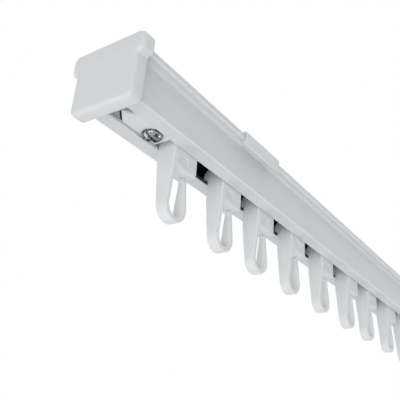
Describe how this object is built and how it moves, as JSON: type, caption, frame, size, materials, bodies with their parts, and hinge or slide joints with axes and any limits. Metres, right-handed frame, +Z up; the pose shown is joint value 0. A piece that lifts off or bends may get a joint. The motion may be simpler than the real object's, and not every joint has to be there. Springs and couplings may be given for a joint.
{
  "type": "curtain track",
  "caption": "White ceiling curtain track: a slotted channel rail with end caps, clamped end stops, snap-over ceiling clips and hook gliders that slide along it.",
  "frame": {"origin": "mid-length of the rail, on its centre plane, at the top faces of the ceiling clips' bosses", "axes": "+X along the rail from the pictured end to the far end, +Y across the rail, +Z up to the ceiling"},
  "size_m": [0.6, 0.0232, 0.0357],
  "materials": {
    "rail_coat": "satin white coating on extruded aluminium",
    "cap_plastic": "fine matt moulded white",
    "stop_plastic": "moulded white",
    "screw_metal": "bright plated steel",
    "clip_coat": "white coated spring sheet",
    "glider_plastic": "smooth moulded white nylon"
  },
  "bodies": {
    "track": {"rail": "rail_coat", "end_cap_near": "cap_plastic", "end_cap_far": "cap_plastic", "end_stop_near": "stop_plastic", "end_stop_far": "stop_plastic", "end_stop_screws": "screw_metal", "ceiling_clip_near": "clip_coat", "ceiling_clip_far": "clip_coat"},
    "glider_01": {"glider_01": "glider_plastic"},
    "glider_02": {"glider_02": "glider_plastic"},
    "glider_03": {"glider_03": "glider_plastic"},
    "glider_04": {"glider_04": "glider_plastic"},
    "glider_05": {"glider_05": "glider_plastic"},
    "glider_06": {"glider_06": "glider_plastic"},
    "glider_07": {"glider_07": "glider_plastic"},
    "glider_08": {"glider_08": "glider_plastic"},
    "glider_09": {"glider_09": "glider_plastic"},
    "glider_10": {"glider_10": "glider_plastic"},
    "glider_11": {"glider_11": "glider_plastic"},
    "glider_12": {"glider_12": "glider_plastic"}
  },
  "joints": [
    {"name": "glider_01_slide", "type": "slide", "parent": "track", "child": "glider_01", "axis": [1, 0, 0], "range_m": [-0.0012, 0.0239]},
    {"name": "glider_02_slide", "type": "slide", "parent": "glider_01", "child": "glider_02", "axis": [1, 0, 0], "range_m": [-0.0123, 0.0239]},
    {"name": "glider_03_slide", "type": "slide", "parent": "glider_02", "child": "glider_03", "axis": [1, 0, 0], "range_m": [-0.0098, 0.0239]},
    {"name": "glider_04_slide", "type": "slide", "parent": "glider_03", "child": "glider_04", "axis": [1, 0, 0], "range_m": [-0.0122, 0.0239]},
    {"name": "glider_05_slide", "type": "slide", "parent": "glider_04", "child": "glider_05", "axis": [1, 0, 0], "range_m": [-0.0138, 0.0239]},
    {"name": "glider_06_slide", "type": "slide", "parent": "glider_05", "child": "glider_06", "axis": [1, 0, 0], "range_m": [-0.0142, 0.0239]},
    {"name": "glider_07_slide", "type": "slide", "parent": "glider_06", "child": "glider_07", "axis": [1, 0, 0], "range_m": [-0.0112, 0.0239]},
    {"name": "glider_08_slide", "type": "slide", "parent": "glider_07", "child": "glider_08", "axis": [1, 0, 0], "range_m": [-0.0145, 0.0239]},
    {"name": "glider_09_slide", "type": "slide", "parent": "glider_08", "child": "glider_09", "axis": [1, 0, 0], "range_m": [-0.0124, 0.0239]},
    {"name": "glider_10_slide", "type": "slide", "parent": "glider_09", "child": "glider_10", "axis": [1, 0, 0], "range_m": [-0.0124, 0.0239]},
    {"name": "glider_11_slide", "type": "slide", "parent": "glider_10", "child": "glider_11", "axis": [1, 0, 0], "range_m": [-0.0124, 0.0239]},
    {"name": "glider_12_slide", "type": "slide", "parent": "glider_11", "child": "glider_12", "axis": [1, 0, 0], "range_m": [-0.0124, 0.0239]}
  ]
}
